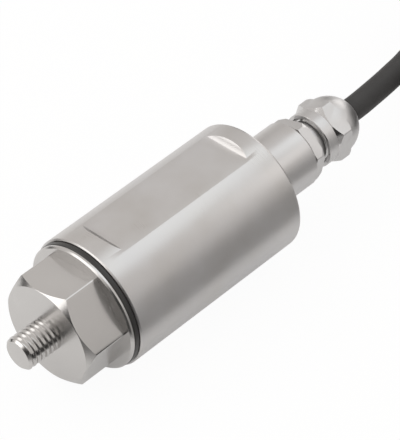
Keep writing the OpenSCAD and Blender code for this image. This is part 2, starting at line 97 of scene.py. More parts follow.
# %% Route of the lead
CABLE_R = 2.95 * MM
CABLE_D = 2 * CABLE_R
EXIT = Vector((94.6, 0, 0)) * MM
ROUTE_MM = [(0, 0, 0), (5, 0, 0), (10, 0.3, 0), (15, 0.7, 0), (20, 1.2, 0.1), (22.5, 1.5, 0.1), (25, 1.9, 0.2)]
HANK_CENTRE = EXIT + Vector((54.2, -11.5, 0)) * MM
HANK_RUN = 52 * MM
INNER_LANE = 18.3 * MM
OUTER_LANE = INNER_LANE + CABLE_D
STRAP_T = 1 * MM
FLOOR_Z = cad_low.z
LAYER_Z = [FLOOR_Z + STRAP_T + CABLE_R + i * CABLE_D for i in range(5)]
LEAD_IN_R = 26 * MM
LEAD_IN_CENTRE = EXIT + Vector((23.1, 27.9, 0)) * MM
LEAD_IN_START = math.radians(9.1)
SWING_STEPS = 7
JOIN_STEPS = 8
FOLD_STEPS = 20
RUN_OUT_STEPS = 12
RUN_BACK_STEPS = 26
CHANGE_SHARE = 0.55
LANE_CHANGE_START = 0.22
DROP_START = 0.45
JACKET_END_X = HANK_CENTRE.x + 20 * MM


def ease(t):
    """0 before t = 0, 1 after t = 1, and smooth between them."""
    t = min(max(t, 0), 1)
    return t * t * (3 - 2 * t)


def mix(a, b, t):
    """From a at t = 0 to b at t = 1."""
    return a + (b - a) * t


def hank_point(x, y, z):
    """A point given from the centre of the hank's near fold."""
    return Vector((HANK_CENTRE.x + x, HANK_CENTRE.y + y, z))


def smooth_through(points, parts=6):
    """More points on a smooth curve through the given ones."""
    ends = [2 * points[0] - points[1]] + points + [2 * points[-1] - points[-2]]
    made = []
    for before, a, b, after in zip(ends, ends[1:], ends[2:], ends[3:]):
        handles = a + (b - before) / 6, b - (after - a) / 6
        made += interpolate_bezier(a, *handles, b, parts + 1)[:-1]
    return made + [points[-1]]


def lead_in():
    """From the exit along the route's points, then round two arcs into the hank's outer lane."""
    route = [EXIT + Vector(p) * MM for p in ROUTE_MM]
    turn = math.acos((LEAD_IN_CENTRE.y - HANK_CENTRE.y) / (LEAD_IN_R + OUTER_LANE))
    swing = []
    for i in range(SWING_STEPS + 1):
        a = mix(LEAD_IN_START, turn, i / SWING_STEPS)
        place = LEAD_IN_CENTRE + LEAD_IN_R * Vector((math.sin(a), -math.cos(a), 0))
        swing.append(Vector((place.x, place.y, mix(route[-1].z, LAYER_Z[2], i / SWING_STEPS))))
    points = smooth_through(route + swing[:1])[:-1] + swing
    for i in range(1, JOIN_STEPS + 1):
        a = math.pi / 2 + mix(turn, 0, i / JOIN_STEPS)
        points.append(hank_point(OUTER_LANE * math.cos(a), OUTER_LANE * math.sin(a), LAYER_Z[2]))
    return points


def fold(near, lane_from, lane_to, z_from, z_to, rolls=False):
    """A half circle at the near or the far end. A lead that rolls goes over the strand beside it."""
    points = []
    for i in range(1, FOLD_STEPS + 1):
        t = i / FOLD_STEPS
        s = ease(t)
        if rolls:
            lane = mix(lane_from, lane_to, math.sin(s * math.pi / 2))
            z = mix(z_to, z_from, math.cos(s * math.pi / 2))
        else:
            lane, z = mix(lane_from, lane_to, s), mix(z_from, z_to, s)
        if near:
            a = 1.5 * math.pi - t * math.pi
            points.append(hank_point(lane * math.cos(a), lane * math.sin(a), z))
        else:
            a = math.pi / 2 - t * math.pi
            points.append(hank_point(HANK_RUN + lane * math.cos(a), lane * math.sin(a), z))
    return points


def run_out(lane, z, length=HANK_RUN):
    """A straight run away from the sensor."""
    return [hank_point(length * i / RUN_OUT_STEPS, lane, z) for i in range(1, RUN_OUT_STEPS + 1)]


def run_back(lane_from, lane_to, z_from, z_to, start):
    """The run back, on which the lead changes its place from a share of the run onwards."""
    points = []
    for i in range(1, RUN_BACK_STEPS + 1):
        t = i / RUN_BACK_STEPS
        s = ease((t - start) / CHANGE_SHARE)
        points.append(hank_point(HANK_RUN * (1 - t), -mix(lane_from, lane_to, s), mix(z_from, z_to, s)))
    return points


def turn_of_hank(lane, layer, next_lane, next_layer):
    """One whole turn that ends in the place of the next one."""
    z, next_z = LAYER_Z[layer], LAYER_Z[next_layer]
    if next_lane != lane:
        start = LANE_CHANGE_START
    else:
        start = DROP_START if next_layer < layer else 0
    points = run_out(lane, z) + fold(False, lane, lane, z, z)
    points += run_back(lane, next_lane, z, next_z, start)
    return points + fold(True, next_lane, next_lane, next_z, next_z)


places = [(OUTER_LANE, 2), (OUTER_LANE, 1), (OUTER_LANE, 0)]
places += [(INNER_LANE, layer) for layer in range(5)]
lead_points = lead_in()
for (lane, layer), (next_lane, next_layer) in zip(places, places[1:]):
    lead_points += turn_of_hank(lane, layer, next_lane, next_layer)
lead_points += run_out(INNER_LANE, LAYER_Z[4])
lead_points += fold(False, INNER_LANE, OUTER_LANE, LAYER_Z[4], LAYER_Z[3], rolls=True)
lead_points += run_back(OUTER_LANE, OUTER_LANE, LAYER_Z[3], LAYER_Z[2], DROP_START)
lead_points += fold(True, OUTER_LANE, OUTER_LANE, LAYER_Z[2], LAYER_Z[3])
lead_points += run_out(OUTER_LANE, LAYER_Z[3], JACKET_END_X - HANK_CENTRE.x)

# %% [markdown]
# Every new piece goes through the same few steps: it is picked alone, its doubles are merged and its faces
# turned outwards, it is shaded, and it takes the place of its CAD solids. Open edges are counted, because a
# closed skin is what other programs need.

# %% Helpers for every piece
MERGE = 0.001 * MM
SMOOTH_ANGLE = math.radians(30)


def only(obj):
    """Makes obj the one selected and active object."""
    bpy.ops.object.select_all(action="DESELECT")
    obj.select_set(True)
    bpy.context.view_layer.objects.active = obj


def clean(obj):
    """Merges doubles, drops loose edges and turns all faces outwards."""
    only(obj)
    bpy.ops.object.mode_set(mode="EDIT")
    bpy.ops.mesh.select_all(action="SELECT")
    bpy.ops.mesh.remove_doubles(threshold=MERGE)
    bpy.ops.mesh.delete_loose()
    bpy.ops.mesh.select_all(action="SELECT")
    bpy.ops.mesh.normals_make_consistent(inside=False)
    bpy.ops.object.mode_set(mode="OBJECT")


def ring_of_corners(name, corners):
    """A closed loop of edges through the given points."""
    bpy.ops.object.select_all(action="DESELECT")
    bpy.ops.mesh.primitive_circle_add(vertices=len(corners), radius=MM, location=(0, 0, 0))
    obj = bpy.context.object
    obj.name = obj.data.name = name
    for vertex, corner in zip(obj.data.vertices, corners):
        vertex.co = corner
    return obj


def open_edges(obj):
    """How many edges don't join exactly two faces."""
    uses = {}
    for face in obj.data.polygons:
        for key in face.edge_keys:
            uses[key] = uses.get(key, 0) + 1
    return sum(1 for n in uses.values() if n != 2)


def fit_piece(obj, slot, *nodes):
    """Shades the piece, lets it ride on the frame and stand for its CAD nodes."""
    only(obj)
    bpy.ops.object.shade_smooth_by_angle(angle=SMOOTH_ANGLE)
    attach(obj, "root")
    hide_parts(*nodes)
    print(obj.name, "faces:", len(obj.data.polygons), "open edges:", open_edges(obj))


# %% [markdown]
# A curve with a round bevel makes the cable: it follows the points as one smooth strand with filled ends.
# Converting it gives a tube of faces, and merging the doubles closes its two ends.

# %% Lead
cable_curve = bpy.data.curves.new("lead", "CURVE")
cable_curve.dimensions = "3D"
cable_curve.bevel_depth = CABLE_R
cable_curve.bevel_resolution = 8
cable_curve.use_fill_caps = True
strand = cable_curve.splines.new("POLY")
strand.points.add(len(lead_points) - 1)
for place, point in zip(strand.points, lead_points):
    place.co = (*point, 1)
lead = bpy.data.objects.new("lead", cable_curve)
bpy.context.collection.objects.link(lead)
only(lead)
bpy.ops.object.convert(target="MESH")
lead = bpy.context.object
clean(lead)
fit_piece(lead, "cable_jacket", "cable", "cable_hank")

# %% [markdown]
# Two woven straps hold the hank, one round each of its legs. A strap hugs the bundle: seen along the leg,
# its line is an arc round each corner strand and straight between them. That line is extruded to the strap's
# width, Solidify gives it its thickness and a small bevel rounds its edges. A short tab shows where the strap
# ends.

# %% Straps round the hank
STRAP_W = 12 * MM
STRAP_FROM = (3 * MM, 18 * MM)
STRAP_EDGE = 0.15 * MM
TAB_T = 0.4 * MM


def round_corner(centre, radius, start, end, steps=8):
    """Points of an arc round a corner strand, as (across, up)."""
    angles = [math.radians(mix(start, end, i / steps)) for i in range(steps + 1)]
    return [(centre[0] + radius * math.cos(a), centre[1] + radius * math.sin(a)) for a in angles]


def band(name, line, start_x, side, thickness, closed):
    """A strap along a line of (across, up) round one leg, on the side 1 or -1 of the hank."""
    obj = ring_of_corners(name, [(start_x, HANK_CENTRE.y + side * across, up) for across, up in line])
    bpy.ops.object.mode_set(mode="EDIT")
    bpy.ops.mesh.select_mode(type="EDGE")
    bpy.ops.mesh.select_all(action="DESELECT")
    bpy.ops.object.mode_set(mode="OBJECT")
    last = {0, len(line) - 1}
    for edge in obj.data.edges:
        edge.select = not closed and set(edge.vertices) == last
    bpy.ops.object.mode_set(mode="EDIT")
    bpy.ops.mesh.delete(type="EDGE")
    bpy.ops.mesh.select_all(action="SELECT")
    bpy.ops.mesh.extrude_region_move(TRANSFORM_OT_translate={"value": (STRAP_W, 0, 0)})
    bpy.ops.object.mode_set(mode="OBJECT")
    wall = obj.modifiers.new("wall", "SOLIDIFY")
    wall.thickness = thickness
    wall.offset = 0
    wall.use_even_offset = True
    bpy.ops.object.modifier_apply(modifier=wall.name)
    edge_round = obj.modifiers.new("edge_round", "BEVEL")
    edge_round.width = STRAP_EDGE
    edge_round.segments = 2
    edge_round.limit_method = "ANGLE"
    bpy.ops.object.modifier_apply(modifier=edge_round.name)
    clean(obj)
    return obj


def leg_line(radius):
    """The line round one leg of the hank, at a distance from the middles of its corner strands."""
    line = round_corner((INNER_LANE, LAYER_Z[0]), radius, 180, 270)
    line += round_corner((OUTER_LANE, LAYER_Z[0]), radius, 270, 360)
    line += round_corner((OUTER_LANE, LAYER_Z[3]), radius, 0, 45, 4)
    return line + round_corner((INNER_LANE, LAYER_Z[4]), radius, 45, 180, 12)


strap_t = STRAP_T - TAB_T
strap_line = leg_line(CABLE_R + strap_t / 2)
tab_r = CABLE_R + strap_t + TAB_T / 2
tab_line = [(OUTER_LANE + tab_r, LAYER_Z[1])] + round_corner((OUTER_LANE, LAYER_Z[3]), tab_r, 0, 45, 4)
tab_line += round_corner((INNER_LANE, LAYER_Z[4]), tab_r, 45, 80, 4)
strips = []
for side, start in zip((1, -1), STRAP_FROM):
    strips.append(band("strap", strap_line, HANK_CENTRE.x + start, side, strap_t, closed=True))
    strips.append(band("tab", tab_line, HANK_CENTRE.x + start, side, TAB_T, closed=False))
for strip in strips:
    strip.select_set(True)
bpy.context.view_layer.objects.active = strips[0]
bpy.ops.object.join()
straps = bpy.context.object
straps.name = straps.data.name = "hank_straps"
fit_piece(straps, "strap_fabric", "hank_ties")

# %% [markdown]
# Its far end is bare: a sleeve, four cores and their ferrules, which come from CAD.

# %% [markdown]
# Most of the sensor is turned on a lathe, so most pieces start as an outline that is spun round the X axis.
# A ring with as many corners as the outline is added, its corners are set to their places, and Spin sweeps
# it. Hexagons are milled into the turned pieces, so they are six-sided bars joined by a Boolean.
# These few helpers do that, and each new piece is checked for open edges.

# %% Helpers for turned and milled pieces
TURN_STEPS = 160


def turned(name, outline, steps=TURN_STEPS):
    """Spins a closed outline of (station, radius) in mm round the X axis."""
    obj = ring_of_corners(name, [(x * MM, 0, r * MM) for x, r in outline])
    bpy.ops.object.mode_set(mode="EDIT")
    bpy.ops.mesh.select_all(action="SELECT")
    bpy.ops.mesh.spin(steps=steps, angle=2 * math.pi, center=(0, 0, 0), axis=(1, 0, 0))
    bpy.ops.object.mode_set(mode="OBJECT")
    clean(obj)
    return obj


def arc(x, r, radius, start, end, steps=8):
    """Points of an arc in an outline. 0 degrees looks along +X and 90 away from the axis."""
    angles = [math.radians(mix(start, end, i / steps)) for i in range(steps + 1)]
    return [(x + radius * math.cos(a), r + radius * math.sin(a)) for a in angles]


def hex_bar(name, start, end, across_flats, turn, edge_round):
    """A hexagon bar in mm, one flat up at turn 0, with its long edges rounded."""
    bpy.ops.object.select_all(action="DESELECT")
    bpy.ops.mesh.primitive_cylinder_add(
        vertices=6, radius=across_flats / 2 / math.cos(math.pi / 6) * MM, depth=(end - start) * MM,
        location=((start + end) / 2 * MM, 0, 0), rotation=(0, math.pi / 2, 0))
    obj = bpy.context.object
    obj.name = obj.data.name = name
    bpy.ops.object.transform_apply(location=True, rotation=True, scale=True)
    obj.data.transform(Matrix.Rotation(math.radians(turn), 4, "X"))
    bpy.ops.object.mode_set(mode="EDIT")
    bpy.ops.mesh.select_all(action="DESELECT")
    bpy.ops.object.mode_set(mode="OBJECT")
    for edge in obj.data.edges:
        a, b = (obj.data.vertices[i].co for i in edge.vertices)
        edge.select = abs(a.x - b.x) > MM
    bpy.ops.object.mode_set(mode="EDIT")
    bpy.ops.mesh.select_mode(type="EDGE")
    bpy.ops.mesh.bevel(offset=edge_round * MM, segments=4, affect="EDGES")
    bpy.ops.object.mode_set(mode="OBJECT")
    return obj


def combine(obj, tool, operation):
    """Joins, cuts or intersects obj with tool, which is used up."""
    only(obj)
    joint = obj.modifiers.new("joint", "BOOLEAN")
    joint.operation = operation
    joint.solver = "EXACT"
    joint.object = tool
    bpy.ops.object.modifier_apply(modifier=joint.name)
    bpy.data.objects.remove(tool, do_unlink=True)


# %% [markdown]
# The base is one piece of stainless steel: stud, hexagon, flange and the spigot inside the housing.
# The stud's M8 thread is real geometry. One tooth is drawn as a short line, the Screw modifier winds it
# into a helix, Bisect cuts both ends flat, Fill Holes closes them, and an intersection with a bevelled pin
# shapes the tip. The helix starts at an odd place, because a cut that runs exactly through corners can leave
# gaps. The thread is shallower than the standard one, because the real stud shows it only faintly.

# %% Stud with its thread
STUD_R = 4.0
STUD_L = 8.5
STUD_BEVEL = 0.6
THREAD_PITCH = 1.25
THREAD_DEPTH = 0.16
THREAD_STEPS = 64
THREAD_LEAD_IN = 2.379
THREAD_END = 0.605
THREAD_SPARE_TURNS = 4
HALF_TOOTH = [(0, 0), (0.12, 0.04), (0.3, 0.45), (0.42, 0.9)]
TIP_CLEARANCE = 0.02
HEX_L = 10.3


def threaded_pin(name, start, end, radius, pitch, depth):
    """A pin along X with a screw thread, closed at both ends, in mm."""
    tooth = HALF_TOOTH + [(0.5, 1)] + [(1 - x, h) for x, h in reversed(HALF_TOOTH)]
    root = radius - depth
    first = start - THREAD_LEAD_IN * pitch
    obj = ring_of_corners(name, [((first + x * pitch) * MM, 0, (root + h * depth) * MM) for x, h in tooth])
    ends = {0, len(tooth) - 1}
    bpy.ops.object.mode_set(mode="EDIT")
    bpy.ops.mesh.select_mode(type="EDGE")
    bpy.ops.object.mode_set(mode="OBJECT")
    for edge in obj.data.edges:
        edge.select = set(edge.vertices) == ends
    bpy.ops.object.mode_set(mode="EDIT")
    bpy.ops.mesh.delete(type="EDGE")
    bpy.ops.object.mode_set(mode="OBJECT")
    screw = obj.modifiers.new("screw", "SCREW")
    screw.axis = "X"
    screw.screw_offset = pitch * MM
    screw.iterations = math.ceil((end - start) / pitch) + THREAD_SPARE_TURNS
    screw.steps = screw.render_steps = THREAD_STEPS
    bpy.ops.object.modifier_apply(modifier=screw.name)
    clean(obj)
    bpy.ops.object.mode_set(mode="EDIT")
    for place, side in ((start, 1), (end, -1)):
        bpy.ops.mesh.select_all(action="SELECT")
        bpy.ops.mesh.bisect(
            plane_co=(place * MM, 0, 0), plane_no=(side, 0, 0), clear_inner=True, threshold=0)
    bpy.ops.mesh.select_all(action="SELECT")
    bpy.ops.mesh.remove_doubles(threshold=MERGE)
    bpy.ops.mesh.fill_holes(sides=0)
    bpy.ops.object.mode_set(mode="OBJECT")
    clean(obj)
    return obj


pin = threaded_pin("pin", -STUD_L - THREAD_PITCH, THREAD_END, STUD_R, THREAD_PITCH, THREAD_DEPTH)
tip_r = STUD_R + TIP_CLEARANCE
tip = turned("tip", [(-STUD_L, 0), (-STUD_L, STUD_R - STUD_BEVEL), (STUD_BEVEL - STUD_L, tip_r),
                     (HEX_L, tip_r), (HEX_L, 0)])
combine(pin, tip, "INTERSECT")
print("stud open edges:", open_edges(pin))

# %% [markdown]
# The hexagon's front corners are turned off by a cone, which leaves a round mounting face. Its six long
# edges are rounded a little, because a sharp edge would catch no light.

# %% Hexagon, flange and spigot
HEX_AF = 24.0
HEX_TURN = -4.0
HEX_EDGE_ROUND = 0.32
HEX_FACE_R = 11.9
HEX_BEVEL_DEG = 40.0
HEX_LIMIT_R = 15.0
HEX_OVERLAP = 0.4
OVERCUT = 1.0
FLANGE_R = 15.4
FLANGE_BEVEL = 0.3
SEAL_X = 11.2
SPIGOT_R = 12.45
SPIGOT_END = 19.2
BOSS_R = 8.85
BOSS_END = 20.2
SCREW_HOLE_R = 2.05
SCREW_HOLE_END = 12.7
BREAK = 0.06

base = hex_bar("mounting_base_steel", 0, HEX_L + HEX_OVERLAP, HEX_AF, HEX_TURN, HEX_EDGE_ROUND)
cone_x = (HEX_LIMIT_R - HEX_FACE_R) * math.tan(math.radians(HEX_BEVEL_DEG))
cone = turned("cone", [(0, 0), (0, HEX_FACE_R), (cone_x, HEX_LIMIT_R),
                       (HEX_L + OVERCUT, HEX_LIMIT_R), (HEX_L + OVERCUT, 0)])
combine(base, cone, "INTERSECT")
flange_outline = [(HEX_L, 0), (HEX_L, FLANGE_R - FLANGE_BEVEL - BREAK),
                  (HEX_L + BREAK, FLANGE_R - FLANGE_BEVEL), (HEX_L + FLANGE_BEVEL, FLANGE_R - BREAK),
                  (HEX_L + FLANGE_BEVEL + BREAK, FLANGE_R), (SEAL_X - BREAK, FLANGE_R),
                  (SEAL_X, FLANGE_R - BREAK), (SEAL_X, SPIGOT_R), (SPIGOT_END - BREAK, SPIGOT_R),
                  (SPIGOT_END, SPIGOT_R - BREAK), (SPIGOT_END, BOSS_R), (BOSS_END, BOSS_R),
                  (BOSS_END, SCREW_HOLE_R), (SCREW_HOLE_END, SCREW_HOLE_R), (SCREW_HOLE_END, 0)]
combine(base, turned("flange", flange_outline), "UNION")
combine(base, pin, "UNION")
fit_piece(base, "base_steel", "mounting_base")

# %% [markdown]
# The black ring between flange and housing is a flat washer. It is spun from a small outline with rounded
# corners, so its edge shows a soft line of light.

# %% Seal ring
SEAL_R = 15.5
SEAL_IN_R = 12.6
BODY_X = 12.6
SEAL_ROUND = 0.25

seal_outline = [(SEAL_X, SEAL_IN_R)]
seal_outline += arc(SEAL_X + SEAL_ROUND, SEAL_R - SEAL_ROUND, SEAL_ROUND, 180, 90, 4)
seal_outline += arc(BODY_X - SEAL_ROUND, SEAL_R - SEAL_ROUND, SEAL_ROUND, 90, 0, 4)
seal_outline += [(BODY_X, SEAL_IN_R)]
seal = turned("seal_ring_black", seal_outline)
fit_piece(seal, "seal_rubber", "base_seal_ring")

# %% [markdown]
# The housing is a tube with a rear wall and a neck, all in one outline: along the outside to the neck,
# and back through the thread hole, the passage and the wide bore. One spin makes all of it.

# %% Housing
BODY_R = 16.0
BODY_END = 63.0
BODY_BEVEL = 0.3
BODY_ROUND = 0.7
BORE_R = 12.5
CHAMBER_END = 60.0
NECK_R = 8.25
NECK_END = 77.6
NECK_FILLET = 0.25
NECK_BEVEL = 0.7
PASSAGE_R = 4.2
GLAND_HOLE_R = 6.0
GLAND_HOLE_X = 69.1
O_RING_SEAT_R = 6.92
O_RING_SEAT_X = 76.74

housing_outline = [(BODY_X, BORE_R), (BODY_X, BODY_R - BODY_BEVEL), (BODY_X + BODY_BEVEL, BODY_R)]
housing_outline += arc(BODY_END - BODY_ROUND, BODY_R - BODY_ROUND, BODY_ROUND, 90, 0)
housing_outline += arc(BODY_END + NECK_FILLET, NECK_R + NECK_FILLET, NECK_FILLET, 180, 270, 4)
housing_outline += [(NECK_END - NECK_BEVEL, NECK_R), (NECK_END, NECK_R - NECK_BEVEL),
                    (NECK_END, O_RING_SEAT_R), (O_RING_SEAT_X, O_RING_SEAT_R), (O_RING_SEAT_X, GLAND_HOLE_R),
                    (GLAND_HOLE_X, GLAND_HOLE_R), (GLAND_HOLE_X, PASSAGE_R), (CHAMBER_END, PASSAGE_R),
                    (CHAMBER_END, BORE_R)]
body = turned("housing_steel", housing_outline)
print("housing corners in its outline:", len(housing_outline))

# %% [markdown]
# A long cutter with rounded ends mills the marking flat. Seen from the side, its floor rises in an arc at each
# end, and because the housing is round, that arc also rounds the corners of the flat. A plain box would leave
# upright steps at both ends.

# %% Marking flat
FLAT_X = 17.2
FLAT_L = 41.3
FLAT_Z = 14.55
FLAT_W = 13.8
FLAT_END_R = 3.4
FLAT_END_STEPS = 24

flat_rise_l = math.sqrt(FLAT_END_R ** 2 - (FLAT_END_R - (BODY_R - FLAT_Z)) ** 2)
floor_start = FLAT_X + flat_rise_l
floor_end = FLAT_X + FLAT_L - flat_rise_l
side_view = arc(floor_start, FLAT_Z + FLAT_END_R, FLAT_END_R, 180, 270, FLAT_END_STEPS)
side_view += arc(floor_end, FLAT_Z + FLAT_END_R, FLAT_END_R, 270, 360, FLAT_END_STEPS)
cutter = ring_of_corners("cutter", [(x * MM, -FLAT_W / 2 * MM, z * MM) for x, z in side_view])
bpy.ops.object.mode_set(mode="EDIT")
bpy.ops.mesh.select_all(action="SELECT")
bpy.ops.mesh.edge_face_add()
bpy.ops.mesh.extrude_region_move(TRANSFORM_OT_translate={"value": (0, FLAT_W * MM, 0)})
bpy.ops.object.mode_set(mode="OBJECT")
clean(cutter)
print("length of the flat's floor in mm:", round(floor_end - floor_start, 1))
combine(body, cutter, "DIFFERENCE")
fit_piece(body, "housing_steel", "housing")

# %% [markdown]
# The gland holds and seals the lead. Its body has a thin hexagon, which is screwed against the neck, and a
# threaded shank with a relief behind the hexagon. A turned limit takes the hexagon's rear corners off, the
# shank is joined to it, and the bore is cut last, in one go through both.

# %% Gland body
GLAND_AF = 14.0
GLAND_TURN = -15.0
GLAND_HEX_END = 80.3
GLAND_EDGE_ROUND = 0.18
GLAND_THREAD_R = 5.95
GLAND_START = 69.6
GLAND_END = 86.5
GLAND_BORE_R = 3.3
GLAND_SEAT_X = 83.0
GLAND_SEAT_R = 4.4
GLAND_RELIEF_R = 5.2
GLAND_RELIEF_END = 83.1
GLAND_RELIEF_RISE = 0.5
GLAND_LIMIT_R = 8.1
GLAND_LIMIT_START = NECK_END - 0.2
GLAND_REAR_R = 7.45
GLAND_REAR_BEVEL_L = 1.3
SHANK_OVERLAP = 0.5

gland = hex_bar("gland_body_steel", NECK_END, GLAND_HEX_END, GLAND_AF, GLAND_TURN, GLAND_EDGE_ROUND)
gland_limit = turned("limit", [(GLAND_LIMIT_START, 0), (GLAND_LIMIT_START, GLAND_LIMIT_R),
                               (GLAND_HEX_END - GLAND_REAR_BEVEL_L, GLAND_LIMIT_R),
                               (GLAND_HEX_END, GLAND_REAR_R), (GLAND_HEX_END, 0)])
combine(gland, gland_limit, "INTERSECT")
relief_x = GLAND_HEX_END - SHANK_OVERLAP
shank = turned("shank", [(GLAND_START, 0), (GLAND_START, GLAND_THREAD_R), (relief_x, GLAND_THREAD_R),
                         (relief_x, GLAND_RELIEF_R), (GLAND_RELIEF_END, GLAND_RELIEF_R),
                         (GLAND_RELIEF_END + GLAND_RELIEF_RISE, GLAND_THREAD_R),
                         (GLAND_END, GLAND_THREAD_R), (GLAND_END, 0)])
combine(gland, shank, "UNION")
gland_bore = turned("bore", [(GLAND_START - OVERCUT, 0), (GLAND_START - OVERCUT, GLAND_BORE_R),
                             (GLAND_SEAT_X, GLAND_BORE_R), (GLAND_SEAT_X, GLAND_SEAT_R),
                             (GLAND_END + OVERCUT, GLAND_SEAT_R), (GLAND_END + OVERCUT, 0)])
combine(gland, gland_bore, "DIFFERENCE")
fit_piece(gland, "gland_steel", "gland_body")

# %% [markdown]
# The dome nut has a round collar, a hexagon belt and a dome with the mouth for the lead. A long hexagon trims
# the turned form first, so that the belt's flats run on into the dome. The belt's corners are bevelled by a
# turned limit before it is joined, and the bore with its cone is cut last.

# %% Dome nut
NUT_X = 82.9
COLLAR_R = 6.85
BELT_X = 85.7
BELT_END = 89.85
BELT_BEVEL = 1.3
BELT_REAR_START = 89.3
BELT_REAR_END = 89.9
BELT_REAR_RISE = 0.7
LIMIT_OVERLAP = 0.5
NUT_TURN = -23.0
DOME_X = 89.5
DOME_R = 7.2
DOME_START_DEG = 100
DOME_STEPS = 16
NUT_END = 95.6
MOUTH_BREAK_DEG = 3
MOUTH_BREAK = [(-0.08, 0.12), (0, -0.05)]
NUT_BORE_R = 6.0
NUT_BORE_END = 90.0
NUT_CONE_END = 93.0
MOUTH_R = 3.25
TRIM_GAP = 0.05
COLLAR_BREAK = 0.14

mouth_edge_r = math.sqrt(DOME_R ** 2 - (NUT_END - DOME_X) ** 2)
dome_end_deg = math.degrees(math.atan2(mouth_edge_r, NUT_END - DOME_X))
nut_outline = [(NUT_X, 0), (NUT_X, COLLAR_R - COLLAR_BREAK), (NUT_X + COLLAR_BREAK, COLLAR_R),
               (BELT_X + OVERCUT, COLLAR_R)]
nut_outline += arc(DOME_X, 0, DOME_R, DOME_START_DEG, dome_end_deg + MOUTH_BREAK_DEG, DOME_STEPS)
nut_outline += [(NUT_END + x, mouth_edge_r + r) for x, r in MOUTH_BREAK] + [(NUT_END, 0)]
nut = turned("dome_nut_steel", nut_outline)
trim_af = GLAND_AF + TRIM_GAP
trim = hex_bar("trim", NUT_X - OVERCUT, NUT_END + OVERCUT, trim_af, NUT_TURN, GLAND_EDGE_ROUND)
combine(nut, trim, "INTERSECT")
belt = hex_bar("belt", BELT_X, BELT_END, GLAND_AF, NUT_TURN, GLAND_EDGE_ROUND)
belt_limit = turned("limit", [(BELT_X - LIMIT_OVERLAP, 0), (BELT_X - LIMIT_OVERLAP, COLLAR_R),
                              (BELT_X, COLLAR_R), (BELT_X + BELT_BEVEL, COLLAR_R + BELT_BEVEL),
                              (BELT_REAR_START, COLLAR_R + BELT_BEVEL),
                              (BELT_REAR_END, COLLAR_R + BELT_REAR_RISE),
                              (NUT_END, COLLAR_R + BELT_REAR_RISE), (NUT_END, 0)])
combine(belt, belt_limit, "INTERSECT")
combine(nut, belt, "UNION")
nut_bore = turned("bore", [(NUT_X - OVERCUT, 0), (NUT_X - OVERCUT, NUT_BORE_R), (NUT_BORE_END, NUT_BORE_R),
                           (NUT_CONE_END, MOUTH_R), (NUT_END + OVERCUT, MOUTH_R), (NUT_END + OVERCUT, 0)])
combine(nut, nut_bore, "DIFFERENCE")
fit_piece(nut, "gland_steel", "gland_dome_nut")

# %% [markdown]
# Each finish is a small node tree on a Principled shader. These helpers add a node, link it and make
# a material whose colour and roughness vary a little, because no real surface is one flat value.
# All patterns read Object coordinates, in metres, so a scale of 1000 is one cell per millimetre.

# %% Helpers for finishes
PATTERN_LOW = 0.3
PATTERN_HIGH = 0.7


def add_node(tree, kind, **settings):
    """Adds a node and sets its properties."""
    made = tree.nodes.new(kind)
    for name, value in settings.items():
        setattr(made, name, value)
    return made


def new_finish(name, colour, metallic=0.0, roughness=0.5, specular=0.5):
    """A new material with a Principled shader, returned with its node tree and shader."""
    finish = bpy.data.materials.new(name)
    finish.use_nodes = True
    tree = finish.node_tree
    shader = tree.nodes["Principled BSDF"]
    shader.inputs["Base Color"].default_value = (*colour, 1)
    shader.inputs["Metallic"].default_value = metallic
    shader.inputs["Roughness"].default_value = roughness
    shader.inputs["Specular IOR Level"].default_value = specular
    finish.diffuse_color = (*colour, 1)
    return finish, tree, shader


def object_place(tree):
    """The Object coordinates of the surface."""
    return add_node(tree, "ShaderNodeTexCoord").outputs["Object"]


def noise(tree, place, scale, detail=2.0, dimensions="3D"):
    """Soft random patches of about 1 / scale metres."""
    made = add_node(tree, "ShaderNodeTexNoise", noise_dimensions=dimensions)
    made.inputs["Scale"].default_value = scale
    made.inputs["Detail"].default_value = detail
    tree.links.new(place, made.inputs["W" if dimensions == "1D" else "Vector"])
    return made.outputs["Fac"]


def to_range(tree, value, low, high):
    """Spreads a pattern's middle values between low and high."""
    made = add_node(tree, "ShaderNodeMapRange")
    made.inputs["From Min"].default_value = PATTERN_LOW
    made.inputs["From Max"].default_value = PATTERN_HIGH
    made.inputs["To Min"].default_value = low
    made.inputs["To Max"].default_value = high
    tree.links.new(value, made.inputs["Value"])
    return made.outputs["Result"]


def vary_colour(tree, shader, value, first, second):
    """Mixes two near colours by a pattern."""
    ramp = add_node(tree, "ShaderNodeValToRGB")
    ramp.color_ramp.elements[0].position = PATTERN_LOW
    ramp.color_ramp.elements[0].color = (*first, 1)
    ramp.color_ramp.elements[1].position = PATTERN_HIGH
    ramp.color_ramp.elements[1].color = (*second, 1)
    tree.links.new(value, ramp.inputs["Fac"])
    tree.links.new(ramp.outputs["Color"], shader.inputs["Base Color"])


def raise_bumps(tree, shader, height, depth_mm, strength=1.0):
    """Turns a pattern into small bumps of a real depth."""
    bump = add_node(tree, "ShaderNodeBump")
    bump.inputs["Strength"].default_value = strength
    bump.inputs["Distance"].default_value = depth_mm * MM
    tree.links.new(height, bump.inputs["Height"])
    tree.links.new(bump.outputs["Normal"], shader.inputs["Normal"])


def math_node(tree, operation, *values):
    """A Math node on links or plain numbers."""
    made = add_node(tree, "ShaderNodeMath", operation=operation)
    for socket, value in zip(made.inputs, values):
        if isinstance(value, (int, float)):
            socket.default_value = value
        else:
            tree.links.new(value, socket)
    return made.outputs["Value"]


def wear(obj, finish):
    """Gives a piece one finish all over."""
    obj.data.materials.clear()
    obj.data.materials.append(finish)


# %% [markdown]
# The steel was turned on a lathe, so the tool left rings round the axis: lines across the housing and
# circles on the faces. One number tells both: the station along X plus the distance from the axis.
# Fine noise on that number gives the rings, and slow noise in space gives the faint cloudy satin.
# The flats of the gland are drawn and dull, but the tool cut their front bevels last and left them bright.
# A bevel is known by its normal, which leans towards the stud.

